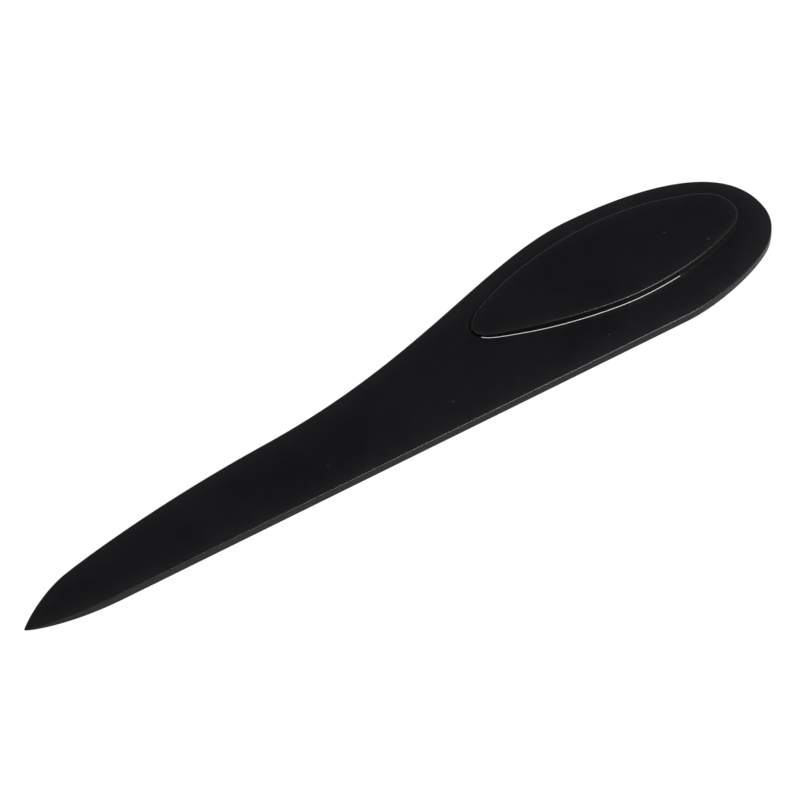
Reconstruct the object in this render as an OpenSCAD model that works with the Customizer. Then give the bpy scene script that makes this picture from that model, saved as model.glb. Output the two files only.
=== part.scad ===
// Flat pry blade and letter opener with a spring clip in its handle.
// One side is straight and the other waisted, the tip is thinned from both faces,
// and the oval handle has an almond window. The clip stands on the handle at its
// butt and reaches over the window, so paper slides in under its free edge.
// Frame: +X from the tip to the handle, +Z up, origin under the middle of the box.

/* [Plate] */
// Length from the tip to the end of the handle
length = 200; // [180:1:220]
// Width over the handle's fullest part
width = 38.5; // [37:0.1:44]
// Thickness of the plate
thickness = 2; // [1.6:0.1:3]
// Rounding of the plate's top edge
edge_r = 0.3; // [0.1:0.05:0.6]
// Rounding of the plate's bottom edge, where the mould parts
foot_r = 0.1; // [0.05:0.05:0.6]
// Width across the waist behind the blade
waist_w = 19.3; // [15:0.1:24]
// Width where the tip's curve meets the blade's flank
shoulder_w = 11.1; // [9:0.1:13]

/* [Tip] */
// Thickness left at the very tip
tip_t = 0.5; // [0.3:0.1:1]
// Length over which both faces slope towards the tip
taper_len = 18; // [10:1:30]
// Distance of the tip's point from the straight side
tip_y = 3.65; // [2:0.05:6]

/* [Clip] */
// Length of the whole almond, tongue and butt together
clip_len = 68.3; // [62:0.1:74]
// Distance of the almond's axis from the straight side
clip_axis_y = 21.3; // [20.5:0.1:21.5]
// Greatest reach of the almond from its axis towards the straight side
clip_near_w = 11.3; // [8:0.1:12]
// Greatest reach of the almond from its axis towards the waisted side
clip_far_w = 12; // [8:0.1:12.5]
// Height of the almond's top over the plate
clip_rise = 1.85; // [1.4:0.05:2.5]
// Rounding of the almond's top edge
clip_edge_r = 0.3; // [0.1:0.05:0.4]
// Share of its side's height that the tongue loses towards its tip
tip_thinning = 0.7; // [0:0.05:0.8]
// Height of the slit between the plate and the tongue
slit = 0.14; // [0.1:0.02:0.5]
// Length of the butt that is solid with the plate
butt_len = 20.4; // [16:0.2:28]
// Distance from the almond's butt to the end of the handle
end_margin = 6.4; // [5:0.2:8]
// Share of the tongue's length that stays with the butt when it bends
flexure_share = 0.15; // [0.1:0.01:0.3]

/* [Grip nib] */
// Reach of the nib from the almond's axis towards the straight side
nib_near_w = 1.2; // [1:0.1:3]
// Reach of the nib from the almond's axis towards the waisted side
nib_far_w = 3; // [1.5:0.1:3]
// Length of the nib
nib_len = 3; // [2:0.1:4]
// How far the nib dips below the plate's top face
nib_dip = 0.8; // [0.3:0.05:1]
// Gap between the nib and the window's wall
nib_gap = 0.1; // [0.1:0.05:0.3]

/* [Hidden] */
plate_colour = [0.10, 0.10, 0.105];
clip_colour = [0.13, 0.13, 0.135];

// Places along the plate, measured from the tip
shoulder_x = 13.4;
waist_x = 0.35 * length;
belly_x = 0.809 * length;
straight_from = 22.5;
straight_to = 0.83 * length;
corner = [length - 5.6, 0.223 * width];
end_y = 0.524 * width;

// Places along the clip, measured from the plate's tip
clip_end = length - end_margin;
clip_tip = clip_end - clip_len;
thinning_len = 16;
root_x = clip_end - butt_len;
pivot_x = root_x - flexure_share * (root_x - clip_tip);
tongue_z = thickness + slit;
clip_top = thickness + clip_rise;

// How far cutters run past what they cut
plenty = 2 * length;
overrun = 1;

// A point at distance r in direction a
function polar(r, a) = r * [cos(a), sin(a)];

// n points of the cubic curve that leaves p at angle a with reach r
// and arrives at q at angle b with reach s; q itself is left out
function curve(p, a, r, q, b, s, n) =
    let (c1 = p + polar(r, a), c2 = q - polar(s, b))
    [for (i = [0:n - 1])
        let (t = i / n, u = 1 - t)
        u * u * u * p + 3 * u * u * t * c1 + 3 * u * t * t * c2 + t * t * t * q];

// n points of the straight line from p towards q; q itself is left out
function line(p, q, n) = [for (i = [0:n - 1]) p + (q - p) * i / n];

// The loop out along one side, through the end point, and back along the other side
function closed(out, end, back) =
    concat(out, [end], [for (i = [len(back) - 1:-1:1]) back[i]]);

// The plate's waisted side, from the tip to the end of the handle
function waisted_side() = concat(
    curve([0, tip_y], 90, 0.3, [shoulder_x, shoulder_w], 18, 7.6, 12),
    curve([shoulder_x, shoulder_w], 18, 3, [waist_x, waist_w], 3.3, 30, 12),
    curve([waist_x, waist_w], 3.3, 42, [belly_x, width], 0, 22, 16),
    curve([belly_x, width], 0, 8.5, [length, end_y], -90, 17.8, 20));

// The plate's straight side, with as many points as the waisted side
function straight_side() = concat(
    curve([0, tip_y], -90, 0.7, [straight_from, 0], 0, 13.2, 12),
    line([straight_from, 0], [straight_to, 0], 24),
    curve([straight_to, 0], 0, 10, corner, 40, 6, 14),
    curve(corner, 40, 6.8, [length, end_y], 90, 3, 10));

function plate_loop() = closed(straight_side(), [length, end_y], waisted_side());

// One flank of the almond. It rounds the tip as far as fore, swells to its belly, falls
// to aft and rounds the butt. Points are [x, distance from the axis]. The reaches are
// those at the tip, into fore, out of fore and into the belly; side is -1 or 1.
function flank(side, fore, lean, belly, reaches) =
    let (aft = [clip_end - 8.2, 0.68 * belly[1]])
    [for (p = concat(
        curve([clip_tip, 0], 90, reaches[0], fore, lean, reaches[1], 10),
        curve(fore, lean, reaches[2], belly, 0, reaches[3], 14),
        curve(belly, 0, 12.5, aft, -20, 3.4, 12),
        curve(aft, -20, 3.4, [clip_end, 0], -90, 5.2, 10)))
        [p[0], clip_axis_y + side * p[1]]];

// The flank towards the straight side is a little slimmer at its tip
function near_flank() = flank(
    -1,
    fore = [clip_tip + 9, 0.525 * clip_near_w],
    lean = 21.2,
    belly = [clip_tip + 0.534 * clip_len, clip_near_w],
    reaches = [2.8, 5.6, 7.6, 8.1]);

function far_flank() = flank(
    1,
    fore = [clip_tip + 9, 0.54 * clip_far_w],
    lean = 22,
    belly = [clip_tip + 0.56 * clip_len, clip_far_w],
    reaches = [3.8, 2.6, 7.3, 10]);

function clip_loop() = closed(near_flank(), [clip_end, clip_axis_y], far_flank());

// Point i of an anticlockwise loop, moved inwards
function inset(loop, i, by) =
    let (n = len(loop), d = loop[(i + 1) % n] - loop[(i + n - 1) % n])
    loop[i] + by * [-d[1], d[0]] / norm(d);

// How much each face of the plate has sloped away at distance x from the tip
function slope(x) = (thickness - tip_t) / 2 * pow(max(0, 1 - x / taper_len), 2);

// One level of the plate's rounded edge: turn runs from 90, on the flat face, to 0,
// on the wall, and face is -1 for the bottom edge or 1 for the top edge
function plate_ring(turn, face) =
    let (loop = plate_loop(), rounding = face < 0 ? foot_r : edge_r)
    [for (i = [0:len(loop) - 1])
        let (
            half = thickness / 2 - slope(loop[i][0]),
            r = min(rounding, 0.9 * half),
            p = inset(loop, i, r * (1 - cos(turn)))
        )
        [p[0], p[1], thickness / 2 + face * (half - r * (1 - sin(turn)))]];

// How far the almond's top has fallen at distance x along the plate
function fall(x) =
    tip_thinning * (clip_rise - slit - clip_edge_r)
        * pow(max(0, 1 - (x - clip_tip) / thinning_len), 2);

// One level of the almond; the levels of its top edge take part in the fall
function clip_ring(z, by, falling) =
    let (loop = clip_loop())
    [for (i = [0:len(loop) - 1])
        let (p = inset(loop, i, by))
        [p[0], p[1], z - (falling ? fall(p[0]) : 0)]];

// A solid lofted through rings of equal length. Each end is closed by strips that
// run from side to side, because point i and point n - i lie across from each other.
module skin(rings) {
    n = len(rings[0]);
    last = len(rings) - 1;
    walls = [for (k = [0:last - 1], i = [0:n - 1])
        let (a = k * n + i, b = k * n + (i + 1) % n)
        each [[a, a + n, b + n], [a, b + n, b]]];
    strips = [for (i = [0:n / 2 - 1])
        let (a = i, b = i + 1, c = n - i - 1, d = (n - i) % n)
        each concat(b == c ? [] : [[a, b, c]], a == d ? [] : [[a, c, d]])];
    lid = [for (f = strips) [f[2] + last * n, f[1] + last * n, f[0] + last * n]];
    polyhedron(
        points = [for (ring = rings) each ring],
        faces = concat(walls, strips, lid),
        convexity = 6);
}

// Measures from the tip and the straight side become measures from the origin
module centred() {
    translate([-length / 2, -width / 2, 0])
        children();
}

// Everything whose distance from the tip lies between two values
module span(from, to) {
    translate([from, -plenty / 2, -plenty / 2])
        cube([to - from, plenty, plenty]);
}

// The whole almond from height z to its rounded top
module almond(z) {
    skin([
        clip_ring(z, 0, false),
        for (turn = [0:30:90])
            clip_ring(
                clip_top - clip_edge_r * (1 - sin(turn)),
                clip_edge_r * (1 - cos(turn)),
                true)
    ]);
}

// The window under the tongue, cut square at the butt
module window() {
    intersection() {
        translate([0, 0, -overrun])
            linear_extrude(thickness + 2 * overrun)
                polygon(clip_loop());
        span(0, root_x);
    }
}

module blade_plate() {
    color(plate_colour)
        centred()
            difference() {
                skin([
                    for (turn = [90:-30:0])
                        plate_ring(turn, -1),
                    for (turn = [0:30:90])
                        plate_ring(turn, 1)
                ]);
                window();
            }
}

// The butt stands on the plate, and its stub over the window is where the tongue bends
module clip_butt() {
    color(plate_colour)
        centred()
            union() {
                intersection() {
                    almond(thickness);
                    span(root_x, length);
                }
                intersection() {
                    almond(tongue_z);
                    span(pivot_x, root_x);
                }
            }
}

module clip_tongue() {
    color(clip_colour)
        centred()
            intersection() {
                almond(tongue_z);
                span(0, pivot_x);
            }
}

// The nib hangs from the tongue's tip into the window
module grip_nib() {
    color(clip_colour)
        centred()
            translate([0, 0, thickness - nib_dip])
                linear_extrude(nib_dip + slit)
                    intersection() {
                        translate([nib_gap, 0])
                            polygon(clip_loop());
                        translate([clip_tip, clip_axis_y - nib_near_w])
                            square([nib_len, nib_near_w + nib_far_w]);
                    }
}

blade_plate();
clip_butt();
clip_tongue();
grip_nib();
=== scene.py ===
import math

import bpy
import numpy as np
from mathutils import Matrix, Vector
from mathutils.geometry import delaunay_2d_cdt


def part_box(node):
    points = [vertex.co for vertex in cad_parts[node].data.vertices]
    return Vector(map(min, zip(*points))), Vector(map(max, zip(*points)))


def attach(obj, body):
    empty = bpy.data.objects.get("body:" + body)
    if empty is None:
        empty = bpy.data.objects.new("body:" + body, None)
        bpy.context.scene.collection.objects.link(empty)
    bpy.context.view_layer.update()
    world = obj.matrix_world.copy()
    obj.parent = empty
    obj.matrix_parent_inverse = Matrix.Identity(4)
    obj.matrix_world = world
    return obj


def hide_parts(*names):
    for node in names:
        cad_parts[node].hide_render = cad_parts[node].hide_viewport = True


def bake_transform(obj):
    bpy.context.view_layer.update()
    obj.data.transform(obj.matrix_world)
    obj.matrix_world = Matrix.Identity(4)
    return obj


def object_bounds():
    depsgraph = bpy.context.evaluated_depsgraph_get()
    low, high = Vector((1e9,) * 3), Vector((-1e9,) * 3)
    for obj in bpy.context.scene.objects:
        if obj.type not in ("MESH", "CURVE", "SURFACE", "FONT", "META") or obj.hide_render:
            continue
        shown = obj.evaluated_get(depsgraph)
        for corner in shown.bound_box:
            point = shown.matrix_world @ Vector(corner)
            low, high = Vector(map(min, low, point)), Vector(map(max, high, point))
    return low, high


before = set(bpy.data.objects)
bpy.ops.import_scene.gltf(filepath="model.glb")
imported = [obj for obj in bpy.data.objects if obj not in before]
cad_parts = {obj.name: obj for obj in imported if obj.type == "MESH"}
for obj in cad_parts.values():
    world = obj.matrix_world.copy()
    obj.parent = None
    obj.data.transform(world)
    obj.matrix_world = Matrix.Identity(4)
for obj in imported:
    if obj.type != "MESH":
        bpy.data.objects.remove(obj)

CAD_LO, CAD_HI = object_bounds()
MM = 0.001

# ---------------------------------------------------------------- sizes, in millimetres
# The plan is drawn from the blade's tip, with y measured from the straight side.
PLATE_LO, PLATE_HI = (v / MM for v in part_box("blade_plate"))
TONGUE_LO, TONGUE_HI = (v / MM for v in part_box("clip_tongue"))
BUTT_LO, BUTT_HI = (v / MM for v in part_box("clip_butt"))
NIB_LO, NIB_HI = (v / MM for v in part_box("grip_nib"))

LENGTH = PLATE_HI.x - PLATE_LO.x
WIDTH = PLATE_HI.y - PLATE_LO.y
THICKNESS = PLATE_HI.z
EDGE_R = 0.3
BASE_R = 0.1
WAIST_W = 19.3
SHOULDER_W = 11.1
TIP_T = 0.5
TAPER_LEN = 18.0
TIP_Y = 3.65

SHOULDER_X = 13.4
WAIST_X = 0.35 * LENGTH
BELLY_X = 0.809 * LENGTH
STRAIGHT_FROM = 22.5
STRAIGHT_TO = 0.83 * LENGTH
CORNER = (LENGTH - 5.6, 0.223 * WIDTH)
END_Y = 0.524 * WIDTH

CLIP_TIP = TONGUE_LO.x - PLATE_LO.x
CLIP_END = BUTT_HI.x - PLATE_LO.x
CLIP_LEN = CLIP_END - CLIP_TIP
CLIP_AXIS_Y = 21.3
CLIP_NEAR_W = 11.3
CLIP_FAR_W = 12.0
CLIP_TOP = TONGUE_HI.z
CLIP_EDGE_R = 0.3
TONGUE_Z = TONGUE_LO.z
TIP_THINNING = 0.7    # share of its side's height that the tongue loses towards its tip
THINNING_LEN = 16.0
FLEXURE_SHARE = 0.15  # share of the tongue's length that stays with the butt
ROOT_X = (BUTT_LO.x - PLATE_LO.x - FLEXURE_SHARE * CLIP_TIP) / (1 - FLEXURE_SHARE)

# Fine detail that the solids leave out
WINDOW_R = 0.02       # rounding of the window's edges
TONGUE_R = 0.02       # rounding under the tongue's edge
SLIT_CLOSING = 0.06   # how much nearer the plate the tongue's tip hangs than its root
FOOT_R = 0.08         # fillet round the butt's foot
FOOT_SINK = 0.06      # how far the butt runs into the plate
NIB_R = 0.12          # rounding of the nib's lower edge
NIB_GAP = 0.1         # gap between the nib and the window
NIB_SINK = 0.02       # how far the nib runs into the tongue
NIB_CORNER = 0.05     # how far the nib's straight sides start behind its rounded front
NIB_STEP = 0.3        # spacing of the points along its straight sides
CROWN = 0.05          # how far the flat faces fall towards their rims
CROWN_BAND = 5.0      # width of the band in which they fall
RIM_ON_FACE = 0.45    # how much of an edge's polish and painted highlight reaches the flat face
RIM_BAND = 1.1        # width of the band in which that dies away
MARGIN = 3.0          # width of the band along the plate's outline that hands have greyed and a painted reflection lightens
WELD_START = 0.7      # how far from the almond's tip the weld line starts
WELD_STEP = 0.2       # spacing of the points along it
WELD_GREY = 1.2       # how grey it is where it starts, against the plate's outline
WELD_LEN = 6.6        # length of the weld line at the window's tip
WELD_ANGLE = 183.0    # its direction in the plan
WELD_W = 0.2          # half its width
WELD_D = 0.015        # its depth

THIN_DEPTH = 0.2      # the rows of points along the outline end where the face has sloped away this far
STEP = 0.7            # spacing of the points along an outline
PITCH = 1.7           # spacing of the points inside a face
CORNER_EASE = 0.6     # length over which an inset eases round a sharp corner

# ---------------------------------------------------------------- plan outlines


def polar(r, degrees):
    a = math.radians(degrees)
    return np.array([r * math.cos(a), r * math.sin(a)])


def curve(p, leave, reach, q, arrive, reach_in, step=STEP):
    """Points of the cubic that leaves p at one angle and arrives at q at another; q is left out."""
    p, q = np.array(p, float), np.array(q, float)
    c1, c2 = p + polar(reach, leave), q - polar(reach_in, arrive)
    n = max(6, round(np.linalg.norm(q - p) / step))
    t = (np.arange(n) / n)[:, None]
    u = 1 - t
    return u**3 * p + 3 * u * u * t * c1 + 3 * u * t * t * c2 + t**3 * q


def line(p, q, step=STEP):
    """Points of the straight line from p to q; q is left out."""
    p, q = np.array(p, float), np.array(q, float)
    n = max(1, round(np.linalg.norm(q - p) / step))
    t = (np.arange(n) / n)[:, None]
    return p + (q - p) * t


def closed(out, end, back):
    """The anticlockwise loop out along one side, through end, and back along the other."""
    return np.concatenate([out, [end], back[:0:-1]])


def plate_outline():
    tip, shoulder = (0, TIP_Y), (SHOULDER_X, SHOULDER_W)
    waist, belly, end = (WAIST_X, WAIST_W), (BELLY_X, WIDTH), (LENGTH, END_Y)
    waisted = np.concatenate([
        curve(tip, 90, 0.3, shoulder, 18, 7.6, 0.4),
        curve(shoulder, 18, 3, waist, 3.3, 30),
        curve(waist, 3.3, 42, belly, 0, 22),
        curve(belly, 0, 8.5, end, -90, 17.8),
    ])
    straight = np.concatenate([
        curve(tip, -90, 0.7, (STRAIGHT_FROM, 0), 0, 13.2, 0.5),
        line((STRAIGHT_FROM, 0), (STRAIGHT_TO, 0)),
        curve((STRAIGHT_TO, 0), 0, 10, CORNER, 40, 6),
        curve(CORNER, 40, 6.8, end, 90, 3),
    ])
    return closed(straight, end, waisted)


def clip_flank(side, fore, lean, belly, reaches):
    """One flank of the almond: it rounds the tip to fore, swells to its belly and rounds the butt."""
    aft = (CLIP_END - 8.2, 0.68 * belly[1])
    flank = np.concatenate([
        curve((CLIP_TIP, 0), 90, reaches[0], fore, lean, reaches[1], 0.35),
        curve(fore, lean, reaches[2], belly, 0, reaches[3], 0.5),
        curve(belly, 0, 12.5, aft, -20, 3.4, 0.5),
        curve(aft, -20, 3.4, (CLIP_END, 0), -90, 5.2, 0.35),
    ])
    return flank * (1, side) + (0, CLIP_AXIS_Y)


def near_flank():
    """The flank towards the straight side, a little slimmer at its tip."""
    fore = (CLIP_TIP + 9, 0.525 * CLIP_NEAR_W)
    belly = (CLIP_TIP + 0.534 * CLIP_LEN, CLIP_NEAR_W)
    return clip_flank(-1, fore, 21.2, belly, (2.8, 5.6, 7.6, 8.1))


def far_flank():
    fore = (CLIP_TIP + 9, 0.54 * CLIP_FAR_W)
    belly = (CLIP_TIP + 0.56 * CLIP_LEN, CLIP_FAR_W)
    return clip_flank(1, fore, 22, belly, (3.8, 2.6, 7.3, 10))


def with_crossings(loop, x):
    """The loop with a point added wherever it crosses the line at x."""
    made = []
    for a, b in zip(loop, np.roll(loop, -1, 0)):
        made.append(a)
        if (a[0] - x) * (b[0] - x) < 0:
            made.append(a + (b - a) * (x - a[0]) / (b[0] - a[0]))
    return np.array(made)


def clip_outline():
    almond = closed(near_flank(), (CLIP_END, CLIP_AXIS_Y), far_flank())
    return with_crossings(almond, ROOT_X)


def inward(loop):
    """Unit normals of an anticlockwise loop, pointing inwards, eased round its sharp corners."""
    d = np.roll(loop, -1, 0) - loop
    length = np.linalg.norm(d, axis=1)
    along = np.cumsum(length) - length
    middle = along + length / 2
    apart = np.abs(along[:, None] - middle[None, :])
    apart = np.minimum(apart, length.sum() - apart)
    weight = np.exp(-((apart / CORNER_EASE) ** 2)) + 1e-12
    n = weight @ np.stack([-d[:, 1], d[:, 0]], 1)
    return n / np.linalg.norm(n, axis=1)[:, None]


def inset(loop, by):
    """The loop moved inwards by a distance, or by one distance for each point."""
    return loop + inward(loop) * np.reshape(by, (-1, 1))


def inside(points, loop):
    """Which points lie inside a loop."""
    x, y = points[:, 0:1], points[:, 1:2]
    x0, y0 = loop[:, 0], loop[:, 1]
    x1, y1 = np.roll(x0, -1), np.roll(y0, -1)
    across = (y0 > y) != (y1 > y)
    rise = np.where(y1 == y0, 1, y1 - y0)
    hits = across & (x < (x1 - x0) * (y - y0) / rise + x0)
    return hits.sum(1) % 2 == 1


def distance(points, loop):
    """Distance from each point to the nearest point of a loop."""
    return np.array([np.hypot(*(loop - p).T).min() for p in points])


# ---------------------------------------------------------------- mesh maker


class Shell:
    """Collects the rings, strips and caps of one closed mesh."""

    def __init__(self):
        self.points, self.rim, self.faces = [], [], []
        self.margin = None

    def add(self, xy, z, rim=0.0):
        """A ring of points at a height, or at one height for each point."""
        first, n = len(self.points), len(xy)
        z, rim = np.broadcast_to(z, n), np.broadcast_to(rim, n)
        self.points += [(x, y, h) for (x, y), h in zip(xy, z)]
        self.rim += list(rim)
        return list(range(first, first + n))

    def strip(self, a, b, loop=True):
        """Faces between two rings. For an anticlockwise pair, from the lower to the upper, they face out."""
        n = len(a)
        for i in range(n if loop else n - 1):
            j = (i + 1) % n
            face = []
            for v in (a[i], a[j], b[j], b[i]):
                if v not in face:
                    face.append(v)
            if len(face) > 2:
                self.faces.append(face)

    def stack(self, rings):
        """Strips through rings from the first to the last."""
        for a, b in zip(rings, rings[1:]):
            self.strip(a, b)

    def cap(self, outer, holes, height, rim, up, extra=()):
        """Fills the area inside one ring and outside others. Height and rim are functions of new points."""
        plan = np.array(self.points)[:, :2]
        rings = [outer, *holes]
        known = [i for ring in rings for i in ring]
        edges, start = [], 0
        for ring in rings:
            n = len(ring)
            edges += [(start + k, start + (k + 1) % n) for k in range(n)]
            start += n
        fill = self.grid(plan[outer], [plan[h] for h in holes], extra)
        more = np.concatenate([extra, fill]) if len(extra) else fill
        new = self.add(more, height(more), rim(more))
        known += new
        coords = [Vector(self.points[i][:2]) for i in known]
        verts, _, tris, source, _, _ = delaunay_2d_cdt(coords, edges, [], 0, 1e-5)
        ids = [known[s[0]] for s in source]
        corners = np.array([[verts[k] for k in t] for t in tris])
        middle = corners.mean(1)
        keep = inside(middle, plan[outer])
        for h in holes:
            keep &= ~inside(middle, plan[h])
        for t, kept in zip(tris, keep):
            if kept:
                face = [ids[k] for k in t]
                self.faces.append(face if up else face[::-1])

    @staticmethod
    def grid(outer, holes, extra):
        """Evenly spaced points inside the area, clear of its rings."""
        lo, hi = outer.min(0), outer.max(0)
        rows = np.arange(lo[1], hi[1], PITCH * math.sqrt(3) / 2)
        points = np.array([
            (x + (k % 2) * PITCH / 2, y)
            for k, y in enumerate(rows)
            for x in np.arange(lo[0], hi[0], PITCH)
        ])
        keep = inside(points, outer) & (distance(points, outer) > 0.6 * PITCH)
        for h in holes:
            keep &= ~inside(points, h) & (distance(points, h) > 0.6 * PITCH)
        if len(extra):
            keep &= distance(points, np.array(extra)) > 0.4 * PITCH
        return points[keep]

    def build(self, name, material):
        """The mesh as an object in the part's frame, in metres."""
        origin = np.array([PLATE_LO.x, PLATE_LO.y, 0])
        co = (np.array(self.points) + origin) * MM
        mesh = bpy.data.meshes.new(name)
        mesh.from_pydata([tuple(p) for p in co], [], self.faces)
        mesh.validate()
        mesh.shade_smooth()
        rim = mesh.attributes.new("rim", "FLOAT", "POINT")
        rim.data.foreach_set("value", np.array(self.rim, np.float32))
        if self.margin is not None:
            margin = mesh.attributes.new("margin", "FLOAT", "POINT")
            margin.data.foreach_set("value", np.array(self.margin, np.float32))
        rest = mesh.attributes.new("rest", "FLOAT_VECTOR", "POINT")
        rest.data.foreach_set("vector", co.astype(np.float32).ravel())
        mesh.materials.append(material)
        obj = bpy.data.objects.new(name, mesh)
        bpy.context.scene.collection.objects.link(obj)
        normals = obj.modifiers.new("even_normals", "WEIGHTED_NORMAL")
        normals.keep_sharp = True
        return obj


# ---------------------------------------------------------------- pieces


def slope(x):
    """How far each face of the plate has sloped away at distance x from the tip."""
    return (THICKNESS - TIP_T) / 2 * np.clip(1 - x / TAPER_LEN, 0, None) ** 2


def fall(d):
    """How far a crowned face has fallen at distance d from its outline."""
    return CROWN * np.clip(1 - d / CROWN_BAND, 0, None) ** 2


def rim_at(d):
    """How much an edge's handling and its painted highlight show on the flat face at distance d from it."""
    return RIM_ON_FACE * np.exp(-np.asarray(d) / RIM_BAND)


def rounding(radius, turns=6):
    """(inset, drop) of the levels of a rounded edge, from the wall to the flat face."""
    a = np.linspace(0, math.pi / 2, turns + 1)
    return [(radius * (1 - math.cos(t)), radius * (1 - math.sin(t))) for t in a]


def level(value):
    """A function that gives every point the same value, for a cap's height or rim."""
    def at(points):
        return np.full(len(points), value)
    return at


def plate_wall(shell, outline):
    """The wall with its rounded edges. Returns the rings where it meets the two flat faces."""
    half = THICKNESS / 2 - slope(outline[:, 0])
    levels = []
    for face, radius, turns in ((-1, BASE_R, 4), (1, EDGE_R, 9)):
        r = np.minimum(radius, 0.9 * half)
        for turn in np.linspace(0, math.pi / 2, turns)[::face]:
            by = r * (1 - math.cos(turn))
            drop = r * (1 - math.sin(turn)) + (fall(by) * math.sin(turn) if face > 0 else 0)
            levels.append((by, THICKNESS / 2 + face * (half - drop), 0.15 + 0.85 * math.sin(2 * turn)))
    rings = [shell.add(inset(outline, by), z, rim) for by, z, rim in levels]
    shell.stack(rings)
    return rings[0], rings[-1]


def window_outline(clip):
    """The window: the almond as far as the root, and square across there."""
    kept = clip[clip[:, 0] <= ROOT_X + 1e-6]
    start = int(np.argmax(kept[:, 1] * (kept[:, 0] > ROOT_X - 1e-6)))
    kept = np.roll(kept, -start, 0)
    return np.concatenate([kept, line(kept[-1], kept[0])[1:]])


def weld_points():
    """Three rows of points along the weld line, which starts at the almond's tip."""
    along, across = polar(1, WELD_ANGLE), polar(1, WELD_ANGLE + 90)
    start = np.array([CLIP_TIP, CLIP_AXIS_Y]) + along * WELD_START
    rows = []
    for s in np.arange(0, WELD_LEN, WELD_STEP):
        for side in (-1, 0, 1):
            rows.append(start + along * s + across * side * WELD_W)
    return np.array(rows)


def weld_depth(points):
    """How deep the weld line is at each point; it dies away along its length."""
    along, across = polar(1, WELD_ANGLE), polar(1, WELD_ANGLE + 90)
    v = points - np.array([CLIP_TIP, CLIP_AXIS_Y]) - along * WELD_START
    s, d = v @ along, np.abs(v @ across)
    on = (s > -0.05) & (s < WELD_LEN) & (d < 0.5 * WELD_W)
    return np.where(on, WELD_D * np.clip(1 - s / WELD_LEN, 0, 1) ** 0.5, 0)


def make_plate(material):
    outline = plate_outline()
    window = window_outline(clip_outline())
    shell = Shell()
    low, high = plate_wall(shell, outline)

    def top(points):
        d = distance(points, outline)
        return THICKNESS - slope(points[:, 0]) - fall(d) - weld_depth(points)

    def bottom(points):
        return slope(points[:, 0])

    def rim(points):
        return rim_at(distance(points, outline) - EDGE_R)

    hole = []
    for by, drop in rounding(WINDOW_R, 3)[::-1]:
        hole.append(shell.add(inset(window, -by), drop, 0.4))
    for by, drop in rounding(WINDOW_R, 3):
        hole.append(shell.add(inset(window, -by), THICKNESS - drop, 0.4))
    shell.stack([h[::-1] for h in hole])
    rows = []
    for by in (0.2, 0.7, 1.5):
        ring = inset(outline, EDGE_R + by)
        rows.append(ring[slope(ring[:, 0]) < THIN_DEPTH])
    near = np.concatenate(rows)
    near = near[inside(near, inset(outline, EDGE_R + 0.1))]
    shell.cap(high, [hole[-1]], top, rim, True, np.concatenate([near, weld_points()]))
    shell.cap(low, [hole[0]], bottom, rim, False, near)
    plan = np.array(shell.points)[:, :2]
    # Along the outline the colour is greyed by handling and lightened by a painted reflection; the weld line
    # is added to it
    d = distance(plan, outline)
    outline_grey_and_sheen = np.exp(-d / MARGIN) * np.clip(d / EDGE_R, 0, 1)
    shell.margin = outline_grey_and_sheen + WELD_GREY * weld_depth(plan) / WELD_D
    return shell.build("blade_moulding", material)


def thinning(points):
    """How far the tongue's top has sloped down towards its tip."""
    most = TIP_THINNING * (CLIP_TOP - TONGUE_Z - CLIP_EDGE_R)
    return most * np.clip(1 - (points[:, 0] - CLIP_TIP) / THINNING_LEN, 0, None) ** 2


def tongue_under(points):
    """Height of the tongue's underside, which bends a little closer to the plate towards its tip."""
    free = np.clip((ROOT_X - points[:, 0]) / (ROOT_X - CLIP_TIP), 0, 1)
    return TONGUE_Z - SLIT_CLOSING * free**2


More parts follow.
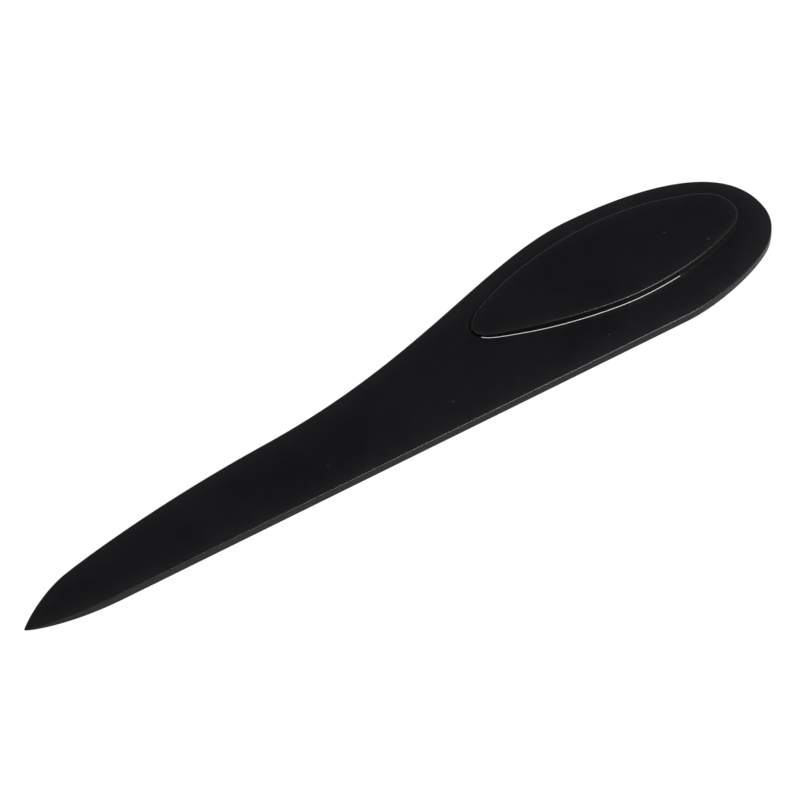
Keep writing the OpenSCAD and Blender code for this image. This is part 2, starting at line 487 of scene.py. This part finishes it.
def make_clip(material):
    """The almond as one moulding: its butt runs into the plate, its tongue reaches over the window."""
    outline = clip_outline()
    shell = Shell()
    butt = outline[:, 0] >= ROOT_X - 1e-6
    under = []
    for by, drop in rounding(TONGUE_R, 3)[::-1]:
        under.append(shell.add(inset(outline, np.where(butt, 0, by)), tongue_under(outline) + drop, 0.4))
    over = []
    for by, drop in rounding(CLIP_EDGE_R, 8):
        tilt = math.sin(math.acos(1 - by / CLIP_EDGE_R))
        ring = inset(outline, by)
        height = CLIP_TOP - drop - fall(by) * tilt - thinning(ring)
        over.append(shell.add(ring, height, 0.5 + 0.5 * math.sin(2 * math.asin(tilt))))
    shell.stack(under + over)

    def top(points):
        return CLIP_TOP - fall(distance(points, outline)) - thinning(points)

    def rim(points):
        return rim_at(distance(points, outline) - CLIP_EDGE_R)

    rows = [inset(outline, CLIP_EDGE_R + by) for by in (0.2, 0.7)]
    shell.cap(over[-1], [], top, rim, True, np.concatenate(rows))

    # The tongue's underside and the butt's foot meet at the root
    n = len(outline)
    feet = [i for i in range(n) if butt[i]]
    ends = [i for i in feet if abs(outline[i, 0] - ROOT_X) < 1e-6]
    near = min(ends, key=lambda i: outline[i, 1])
    far = max(ends, key=lambda i: outline[i, 1])
    order = [(near + k) % n for k in range((far - near) % n + 1)]
    rest = [(far + k) % n for k in range((near - far) % n + 1)]
    across = line(outline[far], outline[near])[1:]
    high = shell.add(across, TONGUE_Z)
    flare = []
    for out, z in ((0, 2 * FOOT_R), (0.12, FOOT_R), (0.45, 0.3 * FOOT_R), (1, 0), (1, -FOOT_SINK)):
        ring = inset(outline, -out * FOOT_R)[order]
        ring[[0, -1]] = outline[[near, far]]
        flare.append(shell.add(ring, THICKNESS + min(z, TONGUE_Z - THICKNESS), 0.4))
    low = shell.add(across, THICKNESS - FOOT_SINK)
    first = [under[0][i] for i in order]
    for a, b in zip([first, *flare], flare):
        shell.strip(b, a, loop=False)
    shell.cap([under[0][i] for i in rest] + high, [], tongue_under, level(0.0), False)
    shell.cap(flare[-1] + low, [], level(THICKNESS - FOOT_SINK), level(0.0), False)
    # The step between the two levels
    step_high = [first[-1], *high, first[0]]
    step_low = [flare[-1][-1], *low, flare[-1][0]]
    shell.strip(step_low, step_high, loop=False)
    return shell.build("clip_moulding", material)


def make_nib(material):
    """The nib under the tongue's tip: the almond's own tip, set back by a gap, with a rounded foot."""
    outline = clip_outline() + (NIB_GAP, 0)
    low_y, high_y = NIB_LO.y - PLATE_LO.y, NIB_HI.y - PLATE_LO.y
    end_x = NIB_HI.x - PLATE_LO.x
    keep = (outline[:, 0] < end_x) & (outline[:, 1] > low_y) & (outline[:, 1] < high_y)
    kept = outline[keep]
    start = int(np.argmax(kept[:, 1]))
    kept = np.roll(kept, -start, 0)
    corner_far, corner_near = (end_x, high_y), (end_x, low_y)
    loop = np.concatenate([
        kept,
        line((kept[-1][0] + NIB_CORNER, low_y), corner_near, NIB_STEP),
        line(corner_near, corner_far, NIB_STEP),
        line(corner_far, (kept[0][0] + NIB_CORNER, high_y), NIB_STEP),
    ])
    shell = Shell()
    rings = []
    for by, drop in rounding(NIB_R, 4)[::-1]:
        rings.append(shell.add(inset(loop, by), NIB_LO.z + drop, 0.5))
    rings.append(shell.add(loop, NIB_HI.z + NIB_SINK, 0.2))
    shell.stack(rings)
    shell.cap(rings[0], [], level(NIB_LO.z), level(0.0), False)
    shell.cap(rings[-1], [], level(NIB_HI.z + NIB_SINK), level(0.0), True)
    return shell.build("grip_nib_moulding", material)


# ---------------------------------------------------------------- material


class Nodes:
    """Short calls for making and linking shader nodes."""

    def __init__(self, material):
        self.tree = material.node_tree

    def make(self, kind, inputs=(), **settings):
        node = self.tree.nodes.new(kind)
        for key, value in settings.items():
            setattr(node, key, value)
        for key, value in dict(inputs).items():
            if isinstance(value, bpy.types.NodeSocket):
                self.tree.links.new(value, node.inputs[key])
            else:
                node.inputs[key].default_value = value
        return node

    def noise(self, where, scale, detail=3.0, roughness=0.5):
        inputs = {"Vector": where, "Scale": scale, "Detail": detail, "Roughness": roughness}
        return self.make("ShaderNodeTexNoise", inputs).outputs["Fac"]

    def ramp(self, value, low, high, to_low=0.0, to_high=1.0):
        inputs = {0: value, 1: low, 2: high, 3: to_low, 4: to_high}
        return self.make("ShaderNodeMapRange", inputs, interpolation_type="SMOOTHSTEP").outputs[0]

    def math(self, operation, a, b=0.0, clamp=False):
        return self.make("ShaderNodeMath", {0: a, 1: b}, operation=operation, use_clamp=clamp).outputs[0]

    def mix(self, factor, a, b):
        inputs = {"Factor": factor, "A": a, "B": b}
        node = self.make("ShaderNodeMix", data_type="RGBA")
        for key, value in inputs.items():
            found = [s for s in node.inputs if s.name == key and s.enabled]
            if isinstance(value, bpy.types.NodeSocket):
                self.tree.links.new(value, found[0])
            else:
                found[0].default_value = value
        return [s for s in node.outputs if s.enabled][0]


def grey(value, blue=1.0):
    return (value, value, value * blue, 1.0)


BODY_DARK = grey(0.0022, 1.45)
BODY_LIGHT = grey(0.0033, 1.4)
# lighter colour of the rounded edges: partly real wear, partly a painted highlight
RIM_COLOUR = grey(0.0135, 1.02)
# colour of the band along the outline: handling grey with a painted reflection
MARGIN_COLOUR = grey(0.0085, 1.15)
DUST_COLOUR = grey(0.032)
ROUGH_FLAT = 0.44
ROUGH_RIM = 0.2
IOR = 1.27
CLOUD_SCALE = 45      # all scales are per metre
PATCH_SCALE = 260
GRAIN_SCALE = 5200
PIT_SCALE = 3800
SPECK_CELLS = 60
SPECK_SIZES = (0.007, 0.013)
SPECK_SHARE = 0.5     # share of the cells that have a speck
GRAIN_DEPTH = 0.00003


def moulded_plastic():
    """Black plastic from a spark-eroded mould: a fine matt grain, polished and greyer where hands rub it,
    with a painted highlight on its rounded edges and a painted reflection along the plate's outline.
    """
    material = bpy.data.materials.new("moulded_plastic")
    material.use_nodes = True
    n = Nodes(material)
    shader = n.tree.nodes["Principled BSDF"]
    where = n.make("ShaderNodeAttribute", attribute_name="rest").outputs["Vector"]
    rim = n.make("ShaderNodeAttribute", attribute_name="rim").outputs["Fac"]
    margin = n.make("ShaderNodeAttribute", attribute_name="margin").outputs["Fac"]

    clouds = n.noise(where, CLOUD_SCALE, 3)
    patches = n.noise(where, PATCH_SCALE, 4, 0.6)
    grain = n.noise(where, GRAIN_SCALE, 2, 0.6)
    pits = n.make("ShaderNodeTexVoronoi", {"Vector": where, "Scale": PIT_SCALE}).outputs["Distance"]

    shade = n.math("ADD", n.math("MULTIPLY", clouds, 0.7), n.math("MULTIPLY", patches, 0.3))
    body = n.mix(n.ramp(shade, 0.35, 0.65), BODY_DARK, BODY_LIGHT)
    # band along the outline and the weld line: handling grey plus a painted reflection along the outline
    wear_and_sheen_mask = n.math("MULTIPLY", margin, n.ramp(patches, 0.3, 0.7, 0.7, 1.0), clamp=True)
    body = n.mix(wear_and_sheen_mask, body, MARGIN_COLOUR)
    # rounded edges: greyer by wear and lighter by a painted highlight; the same mask lowers the roughness
    rubbed_and_highlight = n.math("MULTIPLY", rim, n.ramp(patches, 0.3, 0.7, 0.75, 1.0), clamp=True)
    body = n.mix(rubbed_and_highlight, body, RIM_COLOUR)

    inputs = {"Vector": where, "Scale": SPECK_CELLS}
    cells = n.make("ShaderNodeTexVoronoi", inputs, voronoi_dimensions="2D")
    speck_size = n.ramp(n.noise(where, 20, 1), 0.3, 0.7, *SPECK_SIZES)
    speck = n.math("LESS_THAN", cells.outputs["Distance"], speck_size)
    chosen = n.make("ShaderNodeSeparateColor", {0: cells.outputs["Color"]}).outputs[0]
    speck = n.math("MULTIPLY", speck, n.math("GREATER_THAN", chosen, 1 - SPECK_SHARE))
    body = n.mix(speck, body, DUST_COLOUR)
    n.tree.links.new(body, shader.inputs["Base Color"])

    rough = n.ramp(shade, 0.3, 0.7, ROUGH_FLAT - 0.03, ROUGH_FLAT + 0.04)
    rough = n.make("ShaderNodeMapRange", {0: rubbed_and_highlight, 3: rough, 4: ROUGH_RIM}).outputs[0]
    n.tree.links.new(rough, shader.inputs["Roughness"])

    height = n.math("ADD", n.math("MULTIPLY", grain, 0.7), n.math("MULTIPLY", pits, 0.5))
    bump = n.make("ShaderNodeBump", {"Height": height, "Strength": 0.35, "Distance": GRAIN_DEPTH})
    n.tree.links.new(bump.outputs["Normal"], shader.inputs["Normal"])
    shader.inputs["IOR"].default_value = IOR
    return material


# ---------------------------------------------------------------- stage

FLOOR_HALF = 12.0
FLOOR_DROP = 0.0001
FLOOR_GLOW = 1.0
SKY = 0.12
HORIZON = 1.0
HORIZON_BAND = (0.02, 0.2)  # height of a direction's end, as the horizon gives way to the sky
KEY_AIM = Vector((0.04, 0, 0))
FILL_AIM = Vector((-0.03, 0, 0))


def glowing_floor():
    """A plain white table, lit from below so that no shadow falls on it."""
    material = bpy.data.materials.new("table")
    material.use_nodes = True
    n = Nodes(material)
    shader = n.tree.nodes["Principled BSDF"]
    shader.inputs["Base Color"].default_value = grey(0.02)
    shader.inputs["Roughness"].default_value = 0.9
    shader.inputs["Specular IOR Level"].default_value = 0.0
    shader.inputs["Emission Color"].default_value = grey(1.0)
    shader.inputs["Emission Strength"].default_value = FLOOR_GLOW
    from_below = n.make("ShaderNodeNewGeometry").outputs["Backfacing"]
    clear = n.make("ShaderNodeBsdfTransparent").outputs[0]
    mix = n.make("ShaderNodeMixShader", {0: from_below, 1: shader.outputs[0], 2: clear})
    n.tree.links.new(mix.outputs[0], n.tree.nodes["Material Output"].inputs["Surface"])
    return material


def make_floor():
    h = FLOOR_HALF
    z = CAD_LO.z - FLOOR_DROP
    mesh = bpy.data.meshes.new("floor")
    mesh.from_pydata([(-h, -h, z), (h, -h, z), (h, h, z), (-h, h, z)], [], [(0, 1, 2, 3)])
    mesh.materials.append(glowing_floor())
    floor = bpy.data.objects.new("floor", mesh)
    bpy.context.scene.collection.objects.link(floor)


def make_world():
    """White at the horizon, as the table's far end is, and dim overhead."""
    world = bpy.data.worlds.new("studio")
    bpy.context.scene.world = world
    world.use_nodes = True
    n = Nodes(world)
    where = n.make("ShaderNodeTexCoord").outputs["Generated"]
    z = n.make("ShaderNodeSeparateXYZ", {0: where}).outputs["Z"]
    strength = n.ramp(z, *HORIZON_BAND, HORIZON, SKY)
    background = n.tree.nodes["Background"]
    background.inputs["Color"].default_value = grey(1.0)
    n.tree.links.new(strength, background.inputs["Strength"])


def direction(azimuth, elevation):
    """Unit vector out from the part; azimuth 0 is its straight side and 90 its handle's end."""
    a, e = math.radians(azimuth), math.radians(elevation)
    return Vector((math.sin(a) * math.cos(e), -math.cos(a) * math.cos(e), math.sin(e)))


def placed(name, data, aim, out, reach):
    """A lamp or camera at a distance from the point aim, facing it."""
    obj = bpy.data.objects.new(name, data)
    obj.location = aim + out * reach
    obj.rotation_mode = "QUATERNION"
    obj.rotation_quaternion = (-out).to_track_quat("-Z", "Y")
    bpy.context.scene.collection.objects.link(obj)
    return obj


def softbox(name, aim, azimuth, elevation, reach, size, power):
    """A soft light that faces the point aim and that the camera doesn't see."""
    light = bpy.data.lights.new(name, "AREA")
    light.shape = "RECTANGLE"
    light.size, light.size_y = size
    light.energy = power
    lamp = placed(name, light, aim, direction(azimuth, elevation), reach)
    lamp.visible_camera = False


CAMERA_AZIMUTH = -34.66
CAMERA_ELEVATION = 45.0
CAMERA_REACH = 1.5887
CAMERA_AIM = Vector((0.00091, -0.00544, 0.0020))
CAMERA_LENS = 337.8
SENSOR = 36.0


def make_camera():
    data = bpy.data.cameras.new("camera")
    data.lens, data.sensor_width = CAMERA_LENS, SENSOR
    data.clip_start, data.clip_end = 0.05, 50
    out = direction(CAMERA_AZIMUTH, CAMERA_ELEVATION)
    bpy.context.scene.camera = placed("camera", data, CAMERA_AIM, out, CAMERA_REACH)


# ---------------------------------------------------------------- assembly

plastic = moulded_plastic()

plate = make_plate(plastic)
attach(plate, "plate")
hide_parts("blade_plate")

clip = make_clip(plastic)
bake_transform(clip)
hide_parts("clip_butt", "clip_tongue")

nib = make_nib(plastic)
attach(nib, "clip")
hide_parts("grip_nib")

make_floor()
make_world()
softbox("key", KEY_AIM, azimuth=46, elevation=51, reach=0.6, size=(0.2, 0.24), power=4.9)
softbox("fill", FILL_AIM, azimuth=-110, elevation=45, reach=0.9, size=(0.7, 0.7), power=1.6)
make_camera()
bpy.context.scene.view_settings.view_transform = "Standard"
